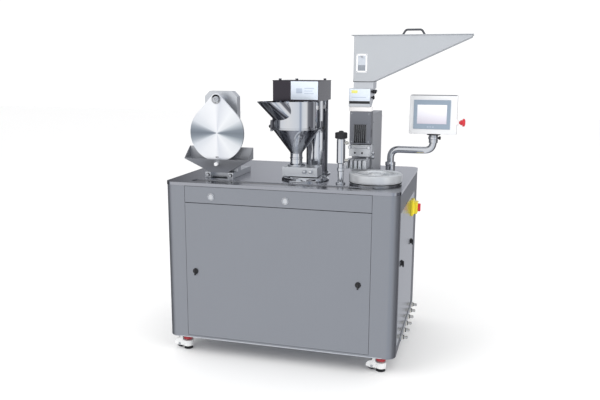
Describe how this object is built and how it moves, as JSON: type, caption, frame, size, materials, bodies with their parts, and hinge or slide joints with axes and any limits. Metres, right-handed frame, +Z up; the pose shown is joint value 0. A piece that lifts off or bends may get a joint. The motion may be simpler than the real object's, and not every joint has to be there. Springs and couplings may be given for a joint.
{
  "type": "capsule filler",
  "caption": "Cabinet on levelling casters with a capsule closing plate and trough, auger powder station, wedge hopper loader over a ring turntable, and a swing-arm operator panel.",
  "frame": {"origin": "on the floor, at the centre of the bounding box's plan", "axes": "+X to the machine's right, +Y towards its back, +Z up; the door faces -Y"},
  "size_m": [1.416, 0.8842, 1.6059],
  "materials": {
    "cabinet_steel": "vertical brushed satin",
    "table_steel": "fine satin",
    "shelf_steel": "zinc plated",
    "polished_steel": "mirror polished stainless",
    "satin_steel": "bright brushed stainless",
    "nickel_brass": "nickel plated",
    "dark_mirror_steel": "dark mirror polished",
    "machined_aluminium": "fine machined",
    "grey_aluminium": "grey anodised",
    "white_paint": "satin white powder coat",
    "bezel_plastic": "pale blue-grey bezel",
    "black_plastic": "black moulded",
    "red_plastic": "red moulded",
    "yellow_plastic": "yellow moulded",
    "motor_casting": "blue-grey painted casting",
    "control_units": "grey moulded cases on a plate",
    "caster_casting": "white coated die casting",
    "caster_nylon": "white nylon",
    "caster_red": "red moulded levelling dial on a steel screw"
  },
  "bodies": {
    "cabinet": {"cabinet_body": "cabinet_steel", "table_top": "table_steel", "fascia_panel": "cabinet_steel", "equipment_shelf": "shelf_steel", "main_switch_base": "yellow_plastic", "hose_port_block": "nickel_brass", "closing_bracket": "machined_aluminium", "closing_block": "machined_aluminium", "collecting_trough": "cabinet_steel", "post_cylinder": "satin_steel", "loader_housing": "cabinet_steel", "sowing_head": "grey_aluminium", "feeder_box": "satin_steel", "capsule_hopper": "satin_steel", "arm_collar": "polished_steel", "vacuum_pump": "motor_casting", "loader_gearmotor": "motor_casting", "control_plate": "control_units"},
    "front_door": {"front_door": "cabinet_steel"},
    "right_side_panel": {"right_side_panel": "cabinet_steel"},
    "door_lock_left": {"door_lock_left": "black_plastic"},
    "door_lock_right": {"door_lock_right": "black_plastic"},
    "side_lock_front": {"side_lock_front": "black_plastic"},
    "side_lock_rear": {"side_lock_rear": "black_plastic"},
    "closing_button": {"closing_button": "polished_steel"},
    "filling_button": {"filling_button": "polished_steel"},
    "main_switch_knob": {"main_switch_knob": "red_plastic"},
    "closing_plate": {"closing_plate": "satin_steel"},
    "ejector_plate": {"ejector_plate": "machined_aluminium"},
    "powder_turntable": {"powder_turntable": "polished_steel"},
    "loader_turntable": {"loader_turntable": "machined_aluminium"},
    "capsule_ring": {"capsule_ring": "machined_aluminium"},
    "powder_column": {"powder_column": "polished_steel"},
    "powder_head": {"dosing_shoe": "machined_aluminium", "auger_tube": "polished_steel", "powder_hopper": "polished_steel", "drive_housing": "dark_mirror_steel", "auger_motor": "black_plastic"},
    "auger": {"auger": "satin_steel"},
    "hopper_clamp_left": {"hopper_clamp_left": "satin_steel"},
    "hopper_clamp_right": {"hopper_clamp_right": "satin_steel"},
    "magazine": {"magazine": "grey_aluminium"},
    "pusher_fork": {"pusher_fork": "machined_aluminium"},
    "hopper_lid": {"hopper_lid": "satin_steel"},
    "hmi_arm": {"hmi_arm": "polished_steel"},
    "hmi_head": {"hmi_box": "white_paint", "hmi_screen": "bezel_plastic"},
    "estop_button": {"estop_button": "red_plastic"},
    "caster_front_left_body": {"caster_front_left_body": "caster_casting"},
    "caster_front_left_wheel": {"caster_front_left_wheel": "caster_nylon"},
    "caster_front_left_foot": {"caster_front_left_foot": "caster_red"},
    "caster_front_right_body": {"caster_front_right_body": "caster_casting"},
    "caster_front_right_wheel": {"caster_front_right_wheel": "caster_nylon"},
    "caster_front_right_foot": {"caster_front_right_foot": "caster_red"},
    "caster_rear_left_body": {"caster_rear_left_body": "caster_casting"},
    "caster_rear_left_wheel": {"caster_rear_left_wheel": "caster_nylon"},
    "caster_rear_left_foot": {"caster_rear_left_foot": "caster_red"},
    "caster_rear_right_body": {"caster_rear_right_body": "caster_casting"},
    "caster_rear_right_wheel": {"caster_rear_right_wheel": "caster_nylon"},
    "caster_rear_right_foot": {"caster_rear_right_foot": "caster_red"}
  },
  "joints": [
    {"name": "door_lift_off", "type": "slide", "parent": "cabinet", "child": "front_door", "axis": [0, -1, 0], "range_m": [0, 0.3]},
    {"name": "side_panel_lift_off", "type": "slide", "parent": "cabinet", "child": "right_side_panel", "axis": [1, 0, 0], "range_m": [0, 0.3]},
    {"name": "door_lock_left_turn", "type": "hinge", "parent": "front_door", "child": "door_lock_left", "pos_m": [-0.552, -0.42985, 0.439], "axis": [0, 1, 0], "range_deg": [0, 90]},
    {"name": "door_lock_right_turn", "type": "hinge", "parent": "front_door", "child": "door_lock_right", "pos_m": [0.255, -0.42985, 0.439], "axis": [0, -1, 0], "range_deg": [0, 90]},
    {"name": "side_lock_front_turn", "type": "hinge", "parent": "right_side_panel", "child": "side_lock_front", "pos_m": [0.434, -0.27085, 0.516], "axis": [-1, 0, 0], "range_deg": [0, 90]},
    {"name": "side_lock_rear_turn", "type": "hinge", "parent": "right_side_panel", "child": "side_lock_rear", "pos_m": [0.434, 0.16515, 0.516], "axis": [1, 0, 0], "range_deg": [0, 90]},
    {"name": "closing_button_press", "type": "slide", "parent": "cabinet", "child": "closing_button", "axis": [0, 1, 0], "range_m": [0, 0.003], "stiffness_N_per_m": 900},
    {"name": "filling_button_press", "type": "slide", "parent": "cabinet", "child": "filling_button", "axis": [0, 1, 0], "range_m": [0, 0.003], "stiffness_N_per_m": 900},
    {"name": "main_switch_turn", "type": "hinge", "parent": "cabinet", "child": "main_switch_knob", "pos_m": [0.454, 0.16015, 0.702], "axis": [1, 0, 0], "range_deg": [0, 90]},
    {"name": "caster_front_left_swivel", "type": "hinge", "parent": "cabinet", "child": "caster_front_left_body", "pos_m": [-0.634, -0.35785, 0.08], "axis": [0, 0, 1], "continuous": true},
    {"name": "caster_front_left_roll", "type": "hinge", "parent": "caster_front_left_body", "child": "caster_front_left_wheel", "pos_m": [-0.677, -0.35785, 0.025], "axis": [0, 1, 0], "continuous": true},
    {"name": "caster_front_left_level", "type": "slide", "parent": "caster_front_left_body", "child": "caster_front_left_foot", "axis": [0, 0, 1], "range_m": [-0.004, 0.008]},
    {"name": "caster_front_right_swivel", "type": "hinge", "parent": "cabinet", "child": "caster_front_right_body", "pos_m": [0.362, -0.35785, 0.08], "axis": [0, 0, 1], "continuous": true},
    {"name": "caster_front_right_roll", "type": "hinge", "parent": "caster_front_right_body", "child": "caster_front_right_wheel", "pos_m": [0.319, -0.35785, 0.025], "axis": [0, 1, 0], "continuous": true},
    {"name": "caster_front_right_level", "type": "slide", "parent": "caster_front_right_body", "child": "caster_front_right_foot", "axis": [0, 0, 1], "range_m": [-0.004, 0.008]},
    {"name": "caster_rear_left_swivel", "type": "hinge", "parent": "cabinet", "child": "caster_rear_left_body", "pos_m": [-0.634, 0.36815, 0.08], "axis": [0, 0, 1], "continuous": true},
    {"name": "caster_rear_left_roll", "type": "hinge", "parent": "caster_rear_left_body", "child": "caster_rear_left_wheel", "pos_m": [-0.677, 0.36815, 0.025], "axis": [0, 1, 0], "continuous": true},
    {"name": "caster_rear_left_level", "type": "slide", "parent": "caster_rear_left_body", "child": "caster_rear_left_foot", "axis": [0, 0, 1], "range_m": [-0.004, 0.008]},
    {"name": "caster_rear_right_swivel", "type": "hinge", "parent": "cabinet", "child": "caster_rear_right_body", "pos_m": [0.362, 0.36815, 0.08], "axis": [0, 0, 1], "continuous": true},
    {"name": "caster_rear_right_roll", "type": "hinge", "parent": "caster_rear_right_body", "child": "caster_rear_right_wheel", "pos_m": [0.319, 0.36815, 0.025], "axis": [0, 1, 0], "continuous": true},
    {"name": "caster_rear_right_level", "type": "slide", "parent": "caster_rear_right_body", "child": "caster_rear_right_foot", "axis": [0, 0, 1], "range_m": [-0.004, 0.008]},
    {"name": "closing_plate_swing", "type": "hinge", "parent": "cabinet", "child": "closing_plate", "pos_m": [-0.487, -0.28085, 1.2703], "axis": [0, 1, 0], "range_deg": [-30, 60]},
    {"name": "ejector_travel", "type": "slide", "parent": "cabinet", "child": "ejector_plate", "axis": [0, -1, 0], "range_m": [0, 0.018]},
    {"name": "powder_turntable_spin", "type": "hinge", "parent": "cabinet", "child": "powder_turntable", "pos_m": [-0.066, -0.16785, 0.886], "axis": [0, 0, 1], "continuous": true},
    {"name": "loader_turntable_spin", "type": "hinge", "parent": "cabinet", "child": "loader_turntable", "pos_m": [0.288, -0.19385, 0.884], "axis": [0, 0, 1], "continuous": true},
    {"name": "ring_lift", "type": "slide", "parent": "loader_turntable", "child": "capsule_ring", "axis": [0, 0, 1], "range_m": [0, 0.006]},
    {"name": "column_lift", "type": "slide", "parent": "cabinet", "child": "powder_column", "axis": [0, 0, 1], "range_m": [0, 0.06]},
    {"name": "head_swing", "type": "hinge", "parent": "powder_column", "child": "powder_head", "pos_m": [-0.058, 0.04015, 1.28], "axis": [0, 0, -1], "range_deg": [0, 60]},
    {"name": "auger_spin", "type": "hinge", "parent": "powder_head", "child": "auger", "pos_m": [-0.121, -0.13985, 1.06], "axis": [0, 0, 1], "continuous": true},
    {"name": "hopper_clamp_left_swing", "type": "hinge", "parent": "powder_head", "child": "hopper_clamp_left", "pos_m": [-0.2501, -0.13985, 1.1145], "axis": [0, -1, 0], "range_deg": [0, 70]},
    {"name": "hopper_clamp_right_swing", "type": "hinge", "parent": "powder_head", "child": "hopper_clamp_right", "pos_m": [0.0081, -0.13985, 1.1145], "axis": [0, 1, 0], "range_deg": [0, 70]},
    {"name": "magazine_lift", "type": "slide", "parent": "cabinet", "child": "magazine", "axis": [0, 0, 1], "range_m": [0, 0.02]},
    {"name": "fork_travel", "type": "slide", "parent": "cabinet", "child": "pusher_fork", "axis": [0, 1, 0], "range_m": [0, 0.02]},
    {"name": "lid_lift_off", "type": "slide", "parent": "cabinet", "child": "hopper_lid", "axis": [0, 0, 1], "range_m": [0, 0.15]},
    {"name": "arm_swing", "type": "hinge", "parent": "cabinet", "child": "hmi_arm", "pos_m": [0.309, 0.18215, 0.9], "axis": [0, 0, 1], "range_deg": [-40, 40]},
    {"name": "panel_swing", "type": "hinge", "parent": "hmi_arm", "child": "hmi_head", "pos_m": [0.528, 0.18215, 1.06], "axis": [0, 0, 1], "range_deg": [-90, 90]},
    {"name": "estop_press", "type": "slide", "parent": "hmi_head", "child": "estop_button", "axis": [-1, 0, 0], "range_m": [0, 0.005], "stiffness_N_per_m": 900}
  ],
  "couplings": [
    {"joint": "fork_travel", "follows": "magazine_lift", "ratio": 1}
  ]
}
